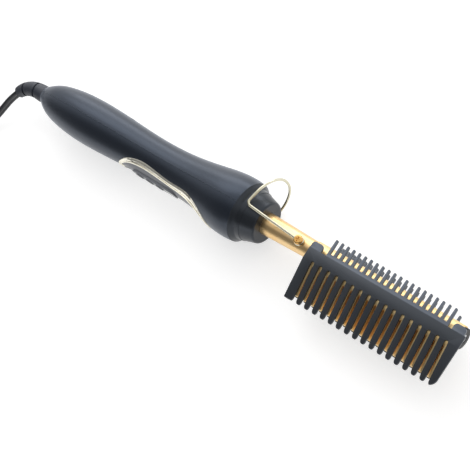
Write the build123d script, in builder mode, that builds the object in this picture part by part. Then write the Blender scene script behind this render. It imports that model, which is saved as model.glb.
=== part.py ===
from build123d import *
import math
import os

os.makedirs("parts", exist_ok=True)

# An electric hot comb lying on its side, in millimetres.
# +X runs from the handle's rear to the comb's tip, -Y is the side of the comb's teeth
# and of the controls, and +Z is up. The handle's widest ring touches z = 0.

# Lengths along the axis
handle_length = 155.8
collar_length = 5.2
cone_length = 7.8
neck_length = 32.3
head_length = 92.9

# Handle
rear_radius = 5.0
palm_radius = 13.45
palm_from_rear = 39.4
waist_radius = 11.5
waist_from_rear = 89.4
flare_radius = 17.4
flare_from_seam = 8.0
flare_start_from_seam = 37.3
flare_middle_from_seam = 22.3
seam_radius = 16.9
shell_wall = 2.2
parting_gap = 0.12
rear_wall = 9.0
collar_radius = 14.3
cone_front_radius = 11.3
spigot_length = 8.0
fit_clearance = 0.05
flat_clearance = 0.1

# Neck and barrel
neck_rear_radius = 6.0
neck_front_radius = 5.25
neck_bore_radius = 3.4
neck_inside = 20.0
neck_spigot_radius = 4.3
neck_spigot_length = 8.0
barrel_radius = 6.0
barrel_drop = 0.3
barrel_bore_radius = 3.2
barrel_end_wall = 7.0
gold_end_gap = 5.0
cap_thickness = 1.9
cap_radius = 5.15

# Comb head, measured down from the axis
tooth_reach = 27.6
slope_start = 6.4
slot_count = 17
slot_width = 2.0
slot_top_rise = 0.6
first_slot = 6.25
last_slot_from_end = 6.65
slot_flare = ((3.6, 0.0), (1.2, 0.2), (0.45, 0.5), (-0.1, 1.1))
guard_face = 9.3
guard_tip_face = 3.1
guard_wall = 1.2
finger_thickness = 1.5
guard_gap = 0.3
lip_height = 1.75
lip_inset = 0.3
ridge_height = -0.1
finger_count = 21
finger_pitch = 3.547
first_finger = 10.78
finger_height = 7.9
finger_root_width = 1.6
finger_tip_width = 1.2
lug_length = 6.7
lug_height = 3.7
lug_from_end = 1.2
gold_half_thickness = 7.9
gold_tip_half_thickness = 2.6
gold_reach = 24.2
gold_slot_drop = 1.8
gold_slot_width = 1.25
gold_slot_lead = 0.55
gold_pitch_drop = 0.1
gold_end_rim = 1.4
end_wall = 1.8
end_slant = 2.0
end_corner = 4.0
back_guard_short = 6.5
back_tooth_short = 3.0
back_lug_length = 4.0
back_finger_shift = 2.3

# Wire stand
wire_radius = 0.75
hinge_from_head = 8.35
leg_length = 32.0
leg_rise = 1.9
leg_root_z = 6.4
arch_half_width = 15.65
arch_top = 23.8
arch_corner_radius = 15.0
arch_lean = 0.2
eye_bore_radius = 1.32
hinge_screw_radius = 1.27

# Control panel
panel_length = 71.0
panel_front_gap = 14.4
panel_level_length = 41.0
trim_half_width = 9.3
trim_front_half_width = 10.9
trim_width = 1.8
trim_proud = 0.45
panel_radius = 12.0
panel_front_radius = 14.6
panel_thickness = 1.6
seat_thickness = 1.4
strip_length = 33.0
strip_from_panel = 10.5
strip_half_width = 4.0
strip_rise = 0.5
button_radius = 2.6
button_gap = 0.2
button_travel = 0.5
button_proud = 0.45
button_flange = 0.7
power_from_panel = 16.0
button_pitch = 7.4
window_length = 7.6
window_width = 5.0
window_from_panel = 38.0
indicator_radius = 0.9
indicator_from_panel = 6.6

# Circuit board
board_face = 4.4
board_thickness = 1.2
board_length = 41.0
board_half_width = 6.4
board_from_panel = 6.0
switch_height = 2.0
plunger_height = 0.5
plunger_radius = 1.1

# Shell screws and cord clamp
shell_screw_radius = 1.3
shell_screw_head = 2.4
boss_radius = 3.2
rear_screw_from_palm = 1.0
front_screw_to_panel = 8.0
clamp_from_rear = 17.5
clamp_length = 5.0
clamp_half_width = 6.6
clamp_screw_offset = 4.4
clamp_thickness = 2.0

# Cord, coil and plug
cord_radius = 2.0
boot_root_radius = 4.9
boot_tip_radius = 3.6
boot_flange_radius = 5.2
boot_groove_width = 1.3
boot_groove_depth = 0.8
coil_turns = 4
coil_mean_radius = 27.0
coil_pitch = 5.3
coil_layer_height = 2.5
coil_layer_rise = 5.2
coil_start = (-243.0, -51.2)
lead_out = 42.2
lead_bend = 16.0
plug_nose_length = 13.0
plug_body_length = 13.5
plug_front_length = 13.0
plug_half_width = 17.6
plug_half_thickness = 7.6
pin_radius = 2.0
pin_length = 19.0
pin_root_radius = 1.5
pin_root_length = 6.0
pin_half_spacing = 9.3

# Places that follow from the sizes
overall = handle_length + collar_length + cone_length + neck_length + head_length
rear_x = -overall / 2
seam_x = rear_x + handle_length
collar_x = seam_x + collar_length
cone_x = collar_x + cone_length
head_x = cone_x + neck_length
head_end = head_x + head_length
panel_x = seam_x - panel_front_gap - panel_length
axis_z = flare_radius
axis_y = (tooth_reach - arch_top - wire_radius) / 2
axis = Axis((0, axis_y, axis_z), (1, 0, 0))
plan = Plane(origin=(0, axis_y, axis_z), x_dir=(1, 0, 0), z_dir=(0, 0, 1))
side = Plane(origin=(0, axis_y, axis_z), x_dir=(1, 0, 0), z_dir=(0, -1, 0))


def section(x, drop=0.0):
    """The plane across the object at x, with Y to its right and Z up."""
    return Plane(origin=(x, axis_y - drop, axis_z), x_dir=(0, 1, 0), z_dir=(1, 0, 0))


def finish(part, name):
    """Name a piece and write it."""
    part.part.label = name
    export_step(part.part, f"parts/{name}.step")


# Handle profile: half outlines above the axis, turned into solids of revolution
def handle_profile(inset):
    """Points of the handle's outline, drawn in by inset."""
    return [
        (rear_x, rear_radius - inset),
        (rear_x + 3.65, rear_radius + 2.25 - inset),
        (rear_x + 8.6, palm_radius - 3.9 - inset),
        (rear_x + 16.9, palm_radius - 1.8 - inset),
        (rear_x + palm_from_rear, palm_radius - inset),
        (rear_x + waist_from_rear, waist_radius - inset),
        (seam_x - flare_start_from_seam, waist_radius + 1.7 - inset),
        (seam_x - flare_middle_from_seam, flare_radius - 1.75 - inset),
        (seam_x - flare_from_seam, flare_radius - inset),
        (seam_x, seam_radius - inset),
    ]


def turned_handle(inset, start=0.0):
    """A solid of the handle's outline drawn in by inset, from start behind its rear."""
    with BuildPart() as body:
        with BuildSketch(plan):
            with BuildLine():
                outline = Spline(*handle_profile(inset))
                Polyline(outline @ 1, (seam_x, 0), (rear_x, 0), outline @ 0)
            make_face()
        revolve(axis=axis)
        if start > 0:
            split(bisect_by=Plane.YZ.offset(rear_x + start), keep=Keep.TOP)
    return body.part


def turned_panel(inset):
    """A solid of the panel's surface drawn in by inset, rising towards the flare."""
    rear = panel_x - 5
    front = panel_x + panel_length + 5
    rise = panel_x + panel_level_length
    with BuildPart() as body:
        with BuildSketch(plan):
            with BuildLine():
                level = Line((rear, panel_radius - inset), (rise, panel_radius - inset))
                climb = Spline(
                    level @ 1,
                    (rise + 16, panel_radius + 1.1 - inset),
                    (front, panel_front_radius + 0.5 - inset),
                    tangents=[(1, 0), (1, 0.15)],
                )
                Polyline(climb @ 1, (front, 0), (rear, 0), level @ 0)
            make_face()
        revolve(axis=axis)
    return body.part


def oval_prism(narrowing, depth=30.0):
    """The panel's oval, drawn in by narrowing and run out through the -Y wall."""
    rear = panel_x + narrowing
    front = rear + panel_length - 2 * narrowing
    wide = trim_half_width - narrowing
    flare = trim_front_half_width - narrowing * 1.35
    middle = front - rear - 27
    with BuildPart() as prism:
        with BuildSketch(side):
            with BuildLine():
                half = [
                    (rear + 3.2, wide * 0.64),
                    (rear + 13, wide),
                    (rear + 13 + middle / 3, wide),
                    (rear + 13 + middle * 2 / 3, wide + 0.2),
                    (front - 14, flare),
                    (front - 4.8, flare * 0.7),
                ]
                other_half = [(x, -z) for x, z in reversed(half)]
                Spline((rear, 0), *half, (front, 0), *other_half, periodic=True)
            make_face()
        extrude(amount=depth)
    return prism.part


power_x = panel_x + power_from_panel
button_places = [power_x + n * button_pitch for n in range(3)]
window_x = panel_x + window_from_panel
indicator_x = panel_x + indicator_from_panel
board_rear = panel_x + board_from_panel
board_front = board_rear + board_length
board_back = board_face - board_thickness
plunger_top = board_face + switch_height + plunger_height
button_end = plunger_top + button_travel + flat_clearance
button_top = panel_radius + strip_rise + button_proud
screw_places = [rear_x + palm_from_rear - rear_screw_from_palm, panel_x - front_screw_to_panel]
post_places = [(board_rear + 2.2, -4.6), (board_rear + 2.2, 4.6)]
post_places += [(board_front - 2.2, -4.6), (board_front - 2.2, 4.6)]
clamp_x = rear_x + clamp_from_rear

handle_solid = turned_handle(0)
handle_hollow = turned_handle(shell_wall, rear_wall)
handle_core = turned_handle(shell_wall / 2)
trim_oval = oval_prism(0)
seat_oval = oval_prism(-1.5)
panel_oval = oval_prism(trim_width)
panel_skin = turned_panel(0)
panel_floor = turned_panel(panel_thickness)
seat_floor = turned_panel(panel_thickness + seat_thickness)

# Shell on the plain side, with the counterbored screw holes
with BuildPart() as plain_shell:
    add(handle_solid)
    add(handle_hollow, mode=Mode.SUBTRACT)
    with BuildSketch(side.offset(-parting_gap / 2)):
        for x in screw_places:
            with Locations((x, 0)):
                Circle(boss_radius)
    extrude(amount=-palm_radius + shell_wall / 2)
    with BuildSketch(side.offset(parting_gap / 2)):
        for x in screw_places:
            with Locations((x, 0)):
                Circle(shell_screw_radius + fit_clearance)
    extrude(amount=-palm_radius - 2, mode=Mode.SUBTRACT)
    with BuildSketch(side.offset(-palm_radius / 2)):
        for x in screw_places:
            with Locations((x, 0)):
                Circle(shell_screw_head + 2 * fit_clearance)
    extrude(amount=-palm_radius, mode=Mode.SUBTRACT)
    with BuildSketch(section(rear_x - 1)):
        Circle(boot_tip_radius + fit_clearance)
    extrude(amount=rear_wall + 2, mode=Mode.SUBTRACT)
    split(bisect_by=Plane.XZ.offset(-axis_y - parting_gap / 2), keep=Keep.BOTTOM)
finish(plain_shell, "plain_shell")

# Shell on the control side, with the panel's pocket, its seat and the screw bosses
with BuildPart() as control_shell:
    add(handle_solid)
    add(handle_hollow, mode=Mode.SUBTRACT)
    with BuildSketch(side.offset(parting_gap / 2)):
        for x in screw_places:
            with Locations((x, 0)):
                Circle(boss_radius)
    extrude(amount=palm_radius - shell_wall / 2 - parting_gap)
    with BuildPart(mode=Mode.PRIVATE) as clamp_bed:
        with BuildSketch(side.offset(cord_radius + fit_clearance)):
            with Locations((clamp_x, 0)):
                Rectangle(clamp_length, 2 * clamp_half_width)
        extrude(amount=palm_radius - 5.5)
        add(handle_core, mode=Mode.INTERSECT)
    add(clamp_bed.part)
    with BuildSketch(side.offset(-cord_radius - fit_clearance)):
        for sign in (-1, 1):
            with Locations((clamp_x, sign * clamp_screw_offset)):
                Circle(1.9)
    extrude(amount=2 * cord_radius + 0.5)
    with BuildSketch(side.offset(-cord_radius - fit_clearance)):
        for sign in (-1, 1):
            with Locations((clamp_x, sign * clamp_screw_offset)):
                Circle(0.8)
    extrude(amount=2 * cord_radius + 2, mode=Mode.SUBTRACT)
    with BuildSketch(side.offset(0)):
        for x in screw_places:
            with Locations((x, 0)):
                Circle(shell_screw_radius)
    extrude(amount=palm_radius - 5, mode=Mode.SUBTRACT)
    with BuildSketch(section(rear_x - 1)):
        Circle(boot_tip_radius + fit_clearance)
    extrude(amount=rear_wall + 2, mode=Mode.SUBTRACT)
    split(bisect_by=Plane.XZ.offset(-axis_y + parting_gap / 2), keep=Keep.TOP)
    with BuildPart(mode=Mode.PRIVATE) as seat:
        add(seat_oval)
        add(panel_floor, mode=Mode.INTERSECT)
        add(seat_floor, mode=Mode.SUBTRACT)
        add(handle_core, mode=Mode.INTERSECT)
    with BuildPart(mode=Mode.PRIVATE) as pocket:
        add(oval_prism(-flat_clearance))
        add(panel_floor, mode=Mode.SUBTRACT)
    with BuildPart(mode=Mode.PRIVATE) as posts:
        with BuildSketch(side.offset(board_face)):
            for place in post_places:
                with Locations(place):
                    Circle(1.5)
        extrude(amount=panel_radius)
        add(panel_floor, mode=Mode.INTERSECT)
    add(seat.part)
    add(posts.part)
    add(pocket.part, mode=Mode.SUBTRACT)
    with BuildSketch(side.offset(board_face)):
        for x in button_places:
            with Locations((x, 0)):
                Circle(button_radius + button_gap)
        with Locations((window_x, 0)):
            Rectangle(window_length + 0.6, window_width + 0.6)
        with Locations((indicator_x, 0)):
            Circle(indicator_radius + flat_clearance)
    extrude(amount=palm_radius, mode=Mode.SUBTRACT)
    with BuildSketch(side.offset(board_face)):
        for place in post_places:
            with Locations(place):
                Circle(0.7)
    extrude(amount=3.5, mode=Mode.SUBTRACT)
finish(control_shell, "control_shell")

# Gold trim ring round the controls
with BuildPart() as panel_trim:
    add(trim_oval)
    add(panel_oval, mode=Mode.SUBTRACT)
    add(turned_handle(-trim_proud), mode=Mode.INTERSECT)
    add(panel_floor, mode=Mode.SUBTRACT)
finish(panel_trim, "panel_trim")

# Panel with its raised strip, and openings for the buttons, window and light
with BuildPart() as control_panel:
    add(oval_prism(trim_width + flat_clearance))
    add(panel_skin, mode=Mode.INTERSECT)
    add(panel_floor, mode=Mode.SUBTRACT)
    with BuildSketch(side.offset(panel_radius - 1)):
        with Locations((panel_x + strip_from_panel + strip_length / 2, 0)):
            SlotOverall(strip_length, 2 * strip_half_width)
    extrude(amount=strip_rise + 1)
    with BuildSketch(side.offset(panel_radius - 4)):
        for x in button_places:
            with Locations((x, 0)):
                Circle(button_radius + button_gap)
        with Locations((indicator_x, 0)):
            Circle(indicator_radius + fit_clearance)
        with Locations((window_x, 0)):
            Rectangle(window_length - 1.2, window_width - 1.2)
    extrude(amount=6, mode=Mode.SUBTRACT)
    with BuildSketch(side.offset(panel_radius + strip_rise - 0.9)):
        with Locations((window_x, 0)):
            RectangleRounded(window_length + flat_clearance, window_width + flat_clearance, 1)
    extrude(amount=3, mode=Mode.SUBTRACT)
finish(control_panel, "control_panel")

# Window over the display, flush with the strip
with BuildPart() as display_window:
    with BuildSketch(side.offset(panel_radius + strip_rise - 0.9)):
        with Locations((window_x, 0)):
            RectangleRounded(window_length, window_width, 1)
    extrude(amount=0.9)
finish(display_window, "display_window")

# Display block, standing on the circuit board
with BuildPart() as display_block:
    with BuildSketch(side.offset(board_face)):
        with Locations((window_x, 0)):
            Rectangle(window_length - 1.6, window_width - 1.6)
    extrude(amount=panel_radius - board_face - 0.6)
finish(display_block, "display_block")

# Light pipe of the indicator, from its lamp to the panel's surface
lamp_top = board_face + 2.4
with BuildPart() as indicator_light:
    with BuildSketch(side.offset(lamp_top)):
        with Locations((indicator_x, 0)):
            Circle(indicator_radius)
    extrude(amount=panel_radius + 0.1 - lamp_top)
finish(indicator_light, "indicator_light")

# Three push buttons, each with a flange that keeps it in
for x, name in zip(button_places, ("power_button", "minus_button", "plus_button")):
    with BuildPart() as button:
        with BuildSketch(side.offset(button_end)):
            with Locations((x, 0)):
                Circle(button_radius + 0.6)
        extrude(amount=button_flange)
        with BuildSketch(side.offset(button_end)):
            with Locations((x, 0)):
                Circle(button_radius)
        extrude(amount=button_top - button_end)
        fillet(button.faces().sort_by(Axis.Y)[0].edges(), 0.5)
    finish(button, name)

# Circuit board with its screw holes
with BuildPart() as circuit_board:
    with BuildSketch(side.offset(board_back)):
        with Locations(((board_rear + board_front) / 2, 0)):
            RectangleRounded(board_length, 2 * board_half_width, 1)
        for place in post_places:
            with Locations(place):
                Circle(0.9, mode=Mode.SUBTRACT)
    extrude(amount=board_thickness)
finish(circuit_board, "circuit_board")

# Screws of the circuit board
with BuildPart() as board_screws:
    with BuildSketch(side.offset(board_back - 1.1)):
        for place in post_places:
            with Locations(place):
                Circle(1.5)
    extrude(amount=1.1)
    with BuildSketch(side.offset(board_back - 0.5)):
        for place in post_places:
            with Locations(place):
                Circle(0.7 - 0.02)
    extrude(amount=4.2)
finish(board_screws, "board_screws")

# Push switches under the buttons
with BuildPart() as push_switches:
    with BuildSketch(side.offset(board_face)):
        for x in button_places:
            with Locations((x, 0)):
                RectangleRounded(5.2, 5.2, 0.4)
    extrude(amount=switch_height)
    with BuildSketch(side.offset(board_face + switch_height)):
        for x in button_places:
            with Locations((x, 0)):
                Circle(plunger_radius)
    extrude(amount=plunger_height)
finish(push_switches, "push_switches")

# Lamp, capacitor, triac and resistor block on the board
with BuildPart() as board_parts:
    with BuildSketch(side.offset(board_face)):
        with Locations((indicator_x + 0.2, 0)):
            Rectangle(1.5, 1.5)
    extrude(amount=lamp_top - board_face - flat_clearance)
    with BuildSketch(side.offset(board_back)):
        with Locations((board_rear + 11, 0)):
            Rectangle(9, 7)
    extrude(amount=-6)
    with BuildSketch(side.offset(board_back)):
        with Locations((board_rear + 22, 0)):
            Circle(3.2)
    extrude(amount=-7.5)
    with BuildSketch(side.offset(board_back)):
        with Locations((board_rear + 31, 0)):
            Rectangle(6, 9)
    extrude(amount=-3)
finish(board_parts, "board_parts")

# Screws that hold the two shells
with BuildPart() as shell_screws:
    with BuildSketch(side.offset(-palm_radius / 2)):
        for x in screw_places:
            with Locations((x, 0)):
                Circle(shell_screw_head)
    extrude(amount=-1.9)
    with BuildSketch(side.offset(-palm_radius / 2)):
        for x in screw_places:
            with Locations((x, 0)):
                Circle(shell_screw_radius - 0.02)
    extrude(amount=palm_radius / 2 + palm_radius - 6)
    with BuildSketch(side.offset(-palm_radius / 2 - 1.9)):
        for x in screw_places:
            with Locations((x, 0)):
                Rectangle(2.6, 0.6)
                Rectangle(0.6, 2.6)
    extrude(amount=0.9, mode=Mode.SUBTRACT)
finish(shell_screws, "shell_screws")

# Bar that clamps the cord inside the handle's rear, and its screws
with BuildPart() as cord_clamp:
    with BuildSketch(side.offset(-cord_radius - fit_clearance)):
        with Locations((clamp_x, 0)):
            Rectangle(clamp_length, 2 * clamp_half_width)
        for sign in (-1, 1):
            with Locations((clamp_x, sign * clamp_screw_offset)):
                Circle(1.0, mode=Mode.SUBTRACT)
    extrude(amount=-clamp_thickness)
finish(cord_clamp, "cord_clamp")

with BuildPart() as clamp_screws:
    with BuildSketch(side.offset(-cord_radius - fit_clearance - clamp_thickness)):
        for sign in (-1, 1):
            with Locations((clamp_x, sign * clamp_screw_offset)):
                Circle(1.7)
    extrude(amount=-1.2)
    with BuildSketch(side.offset(-cord_radius - fit_clearance - clamp_thickness - 0.5)):
        for sign in (-1, 1):
            with Locations((clamp_x, sign * clamp_screw_offset)):
                Circle(0.8 - 0.02)
    extrude(amount=clamp_thickness + 5)
finish(clamp_screws, "clamp_screws")

# Cord inside the handle, from the boot to past the clamp
inner_cord_end = clamp_x + clamp_length / 2 + 3
with BuildPart() as inner_cord:
    with BuildSketch(section(rear_x + rear_wall + 2)):
        Circle(cord_radius)
    extrude(amount=inner_cord_end - rear_x - rear_wall - 2)
finish(inner_cord, "inner_cord")


def wires(points, radius, bends):
    """Two like wires on a bent path and its mirror image about the axis plane."""
    with BuildPart() as pair:
        for sign in (-1, 1):
            path_points = [(x, axis_y + y, axis_z + sign * z) for x, y, z in points]
            with BuildLine() as path:
                FilletPolyline(*path_points, radius=bends)
            with BuildSketch(Plane(origin=path.line @ 0, z_dir=path.line % 0)):
                Circle(radius)
            sweep()
    return pair


# Supply leads, from the cord's end past the screw bosses to the board
supply_leads = wires(
    [
        (inner_cord_end, 0, 0.95),
        (inner_cord_end + 4, 0, 0.95),
        (inner_cord_end + 10, 1.5, 4.9),
        (screw_places[1] + 6, 1.5, 4.9),
        (board_rear - 3, 1 - board_back, 1.9),
        (board_rear + 6.3, -board_back + 0.75, 1.9),
    ],
    0.7,
    2.5,
)
finish(supply_leads, "supply_leads")

# Nose collar, spigoted into the two shells
shoulder = 2.8
with BuildPart() as nose_collar:
    with BuildSketch(plan):
        with BuildLine():
            Line((seam_x - spigot_length, 0), (seam_x - spigot_length, seam_radius - shell_wall - 0.5))
            Line(
                (seam_x - spigot_length, seam_radius - shell_wall - 0.5),
                (seam_x, seam_radius - shell_wall - fit_clearance),
            )
            Line((seam_x, seam_radius - shell_wall - fit_clearance), (seam_x, seam_radius - 0.1))
            bend = Spline(
                (seam_x, seam_radius - 0.1),
                (seam_x + shoulder * 0.6, collar_radius + 0.9),
                (seam_x + shoulder, collar_radius),
                tangents=[(0.6, -0.8), (1, -0.2)],
            )
            Line(bend @ 1, (collar_x, collar_radius - 0.3))
            Polyline((collar_x, collar_radius - 0.3), (collar_x, 0), (seam_x - spigot_length, 0))
        make_face()
    revolve(axis=axis)
    with BuildSketch(section(seam_x - spigot_length)):
        Circle(seam_radius - shell_wall - 2.6)
    extrude(amount=spigot_length + collar_length, mode=Mode.SUBTRACT)
finish(nose_collar, "nose_collar")

# Nose cone, stepped into the collar, with the neck's bore
cone_spigot_radius = seam_radius - shell_wall - 2.6 - fit_clearance
with BuildPart() as nose_cone:
    with BuildSketch(plan):
        with BuildLine():
            Polyline(
                (collar_x - 4, 0),
                (collar_x - 4, cone_spigot_radius),
                (collar_x, cone_spigot_radius),
                (collar_x, collar_radius - 0.5),
            )
            slope = Line((collar_x, collar_radius - 0.5), (cone_x - 1, cone_front_radius + 0.6))
            nose = TangentArc(slope @ 1, (cone_x, cone_front_radius - 0.6), tangent=slope % 1)
            Polyline(nose @ 1, (cone_x, 0), (collar_x - 4, 0))
        make_face()
    revolve(axis=axis)
    with BuildSketch(section(collar_x - 5)):
        Circle(neck_rear_radius + fit_clearance)
    extrude(amount=cone_length + 6, mode=Mode.SUBTRACT)
    with BuildSketch(section(collar_x - 4)):
        Circle(cone_spigot_radius - 2)
        Circle(neck_rear_radius + 2, mode=Mode.SUBTRACT)
    extrude(amount=cone_length - 0.5, mode=Mode.SUBTRACT)
finish(nose_cone, "nose_cone")

# Heat-proof bush that carries the neck inside the nose
bush_x = seam_x - spigot_length + 1
with BuildPart() as neck_bush:
    with BuildSketch(section(bush_x)):
        Circle(cone_spigot_radius)
        Circle(neck_rear_radius + fit_clearance, mode=Mode.SUBTRACT)
        with PolarLocations(9.2, 4):
            Circle(1.4, mode=Mode.SUBTRACT)
    extrude(amount=collar_x - 4 - bush_x)
finish(neck_bush, "neck_bush")

# Neck tube, tapered, with a spigot in the barrel and two cross holes for the stand's screws
hinge_x = head_x - hinge_from_head
barrel_x = head_x - 0.5
neck_rear = cone_x - neck_inside
with BuildPart() as neck_tube:
    with BuildSketch(plan):
        with BuildLine():
            Polyline(
                (neck_rear, neck_bore_radius),
                (neck_rear, neck_rear_radius),
                (cone_x, neck_rear_radius),
                (barrel_x, neck_front_radius),
                (barrel_x, neck_spigot_radius),
                (barrel_x + neck_spigot_length, neck_spigot_radius),
                (barrel_x + neck_spigot_length, neck_bore_radius),
                (neck_rear, neck_bore_radius),
            )
        make_face()
    revolve(axis=axis)
    for sign in (-1, 1):
        with BuildSketch(plan.offset(sign * (neck_front_radius - 0.25))):
            with Locations((hinge_x, 0)):
                Circle(2.6)
        extrude(amount=sign * 2, mode=Mode.SUBTRACT)
    with BuildSketch(plan):
        with Locations((hinge_x, 0)):
            Circle(hinge_screw_radius - 0.3)
    extrude(amount=neck_rear_radius + 1, both=True, mode=Mode.SUBTRACT)
finish(neck_tube, "neck_tube")

# Heated comb: barrel and wedge blade in one casting, cut into teeth
slot_pitch = (head_length - first_slot - last_slot_from_end) / (slot_count - 1)
slot_places = [head_x + first_slot + n * slot_pitch for n in range(slot_count)]
gold_slot_places = [x + gold_slot_lead - n * gold_pitch_drop for n, x in enumerate(slot_places)]
gold_end = head_end - gold_end_gap
wedge_start = head_x + end_wall + guard_gap
wedge_end = gold_slot_places[-1] + gold_slot_width / 2 + gold_end_rim
with BuildPart() as heated_comb:
    with BuildSketch(section(barrel_x, barrel_drop)):
        Circle(barrel_radius)
    extrude(amount=gold_end - barrel_x)
    with BuildSketch(section(wedge_start)):
        Polygon(
            (-barrel_drop - 2, gold_half_thickness - 1.6),
            (-slope_start + 1.5, gold_half_thickness),
            (-slope_start, gold_half_thickness),
            (-gold_reach, gold_tip_half_thickness),
            (-gold_reach, -gold_tip_half_thickness),
            (-slope_start, -gold_half_thickness),
            (-slope_start + 1.5, -gold_half_thickness),
            (-barrel_drop - 2, 1.6 - gold_half_thickness),
            align=None,
        )
    extrude(amount=wedge_end - wedge_start)
    with BuildSketch(section(head_x - 1, barrel_drop)):
        Circle(barrel_bore_radius)
    extrude(amount=gold_end - barrel_end_wall - head_x + 1, mode=Mode.SUBTRACT)
    with BuildSketch(section(barrel_x)):
        Circle(neck_spigot_radius + 0.02)
    extrude(amount=neck_spigot_length + 0.2, mode=Mode.SUBTRACT)
    with BuildSketch(plan.offset(-guard_face)):
        for x in gold_slot_places:
            with Locations((x, -slope_start - gold_slot_drop - gold_slot_width / 2)):
                Circle(gold_slot_width / 2)
                Rectangle(gold_slot_width, gold_reach, align=(Align.CENTER, Align.MAX))
    extrude(amount=2 * guard_face, mode=Mode.SUBTRACT)
    with BuildSketch(section(gold_end, barrel_drop)):
        Circle(1.2)
    extrude(amount=-5, mode=Mode.SUBTRACT)
    screw_y = -slope_start + 1.2
    guard_screw_places = [slot_places[1] + slot_pitch / 2, slot_places[8] + slot_pitch / 2]
    guard_screw_places += [slot_places[14] + slot_pitch / 2]
    with BuildSketch(plan.offset(-guard_face)):
        for x in guard_screw_places:
            with Locations((x, screw_y)):
                Circle(0.95)
    extrude(amount=2 * guard_face, mode=Mode.SUBTRACT)
finish(heated_comb, "heated_comb")


# Finger guards: a faced panel with tooth covers below and round-tipped fingers above
def guard(sign, shift):
    """The guard on the +Z side (sign 1) or on the -Z side, its fingers moved by shift."""
    slope = (guard_face - guard_tip_face) / (tooth_reach - slope_start)
    reach = tooth_reach if sign > 0 else tooth_reach - back_tooth_short
    tip_face = guard_face - slope * (reach - slope_start)
    inner_face = guard_face - guard_wall
    inner_tip = tip_face - guard_wall * math.hypot(1, slope)
    lip_face = guard_face - lip_inset
    finger_base = lip_face - finger_thickness
    end = head_end if sign > 0 else head_end - back_guard_short
    end_lug = lug_length if sign > 0 else back_lug_length
    with BuildPart() as shell:
        with BuildSketch(section(head_x)):
            Polygon(
                (ridge_height, sign * inner_face),
                (ridge_height, sign * guard_face),
                (-slope_start, sign * guard_face),
                (-reach, sign * tip_face),
                (-reach, sign * inner_tip),
                (-slope_start, sign * inner_face),
                align=None,
            )
        extrude(amount=end - head_x)
        with BuildSketch(plan.offset(sign * finger_base)):
            first_x = head_x + first_finger - shift
            last_x = first_x + (finger_count - 1) * finger_pitch
            lip_top = ridge_height + lip_height
            with Locations((first_x - finger_root_width / 2, lip_top)):
                Rectangle(last_x - first_x + finger_root_width, lip_height + 1, align=(Align.MIN, Align.MAX))
            tip = lip_top + finger_height - finger_tip_width / 2
            for n in range(finger_count):
                x = first_x + n * finger_pitch
                Polygon(
                    (x - finger_root_width / 2, lip_top - 0.5),
                    (x + finger_root_width / 2, lip_top - 0.5),
                    (x + finger_tip_width / 2, tip),
                    (x - finger_tip_width / 2, tip),
                    align=None,
                )
                with Locations((x, tip)):
                    Circle(finger_tip_width / 2)
            for x, length in ((head_x, lug_length), (end - lug_from_end - end_lug, end_lug)):
                with Locations((x + length / 2, ridge_height + lug_height)):
                    RectangleRounded(length, lug_height * 2, 1.9, align=(Align.CENTER, Align.MAX))
        extrude(amount=sign * finger_thickness)
        with BuildSketch(section(head_x)):
            Polygon(
                (ridge_height, sign * (guard_face - 0.5)),
                (-slope_start, sign * (guard_face - 0.5)),
                (-reach, sign * (tip_face - 0.5)),
                (-reach, sign * flat_clearance),
                (ridge_height, sign * flat_clearance),
                align=None,
            )
        extrude(amount=end_wall)
        with BuildSketch(section(head_x - 1, barrel_drop)):
            Circle(barrel_radius + guard_gap)
        extrude(amount=head_length + 2, mode=Mode.SUBTRACT)
        with BuildSketch(plan):
            for x in slot_places:
                with Locations((x, slot_top_rise - slope_start - slot_width / 2)):
                    Circle(slot_width / 2)
                    Rectangle(slot_width, tooth_reach, align=(Align.CENTER, Align.MAX))
                left = [(x - slot_width / 2 - out, up - reach) for up, out in slot_flare]
                right = [(x + slot_width / 2 + out, up - reach) for up, out in slot_flare]
                Polygon(*left, *reversed(right), align=None)
        extrude(amount=sign * (guard_face + 1), mode=Mode.SUBTRACT)
        if sign > 0:
            corner_x = head_end - end_slant
            with BuildSketch(plan):
                with BuildLine():
                    slant = Line((head_end, -slope_start + 1), (corner_x, -tooth_reach + end_corner))
                    round_tip = TangentArc(
                        slant @ 1, (corner_x - end_corner, -tooth_reach - 0.2), tangent=slant % 1
                    )
                    Polyline(
                        round_tip @ 1,
                        (corner_x - end_corner, -tooth_reach - 1),
                        (head_end + 1, -tooth_reach - 1),
                        (head_end + 1, -slope_start + 1),
                        slant @ 0,
                    )
                make_face()
            extrude(amount=guard_face + 1, mode=Mode.SUBTRACT)
        if sign < 0:
            with BuildSketch(plan):
                for x in guard_screw_places:
                    with Locations((x, screw_y)):
                        Circle(0.95)
            extrude(amount=-guard_face - 1, mode=Mode.SUBTRACT)
            with BuildSketch(plan.offset(-guard_face)):
                for x in guard_screw_places:
                    with Locations((x, screw_y)):
                        Circle(1.75)
            extrude(amount=1.0, mode=Mode.SUBTRACT)
        else:
            with BuildSketch(plan):
                for x in guard_screw_places:
                    with Locations((x, screw_y)):
                        Circle(0.8)
            extrude(amount=guard_face - 0.6, mode=Mode.SUBTRACT)
    return shell


front_guard = guard(1, 0)
finish(front_guard, "front_guard")
back_guard = guard(-1, back_finger_shift)
finish(back_guard, "back_guard")

# Screws that draw the two guards together through the comb's web
with BuildPart() as guard_screws:
    with BuildSketch(plan.offset(-guard_face + 0.1)):
        for x in guard_screw_places:
            with Locations((x, screw_y)):
                Circle(1.65)
    extrude(amount=0.9)
    with BuildSketch(plan.offset(-guard_face + 0.5)):
        for x in guard_screw_places:
            with Locations((x, screw_y)):
                Circle(0.8 - 0.02)
    extrude(amount=2 * guard_face - 1.2)
finish(guard_screws, "guard_screws")

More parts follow.
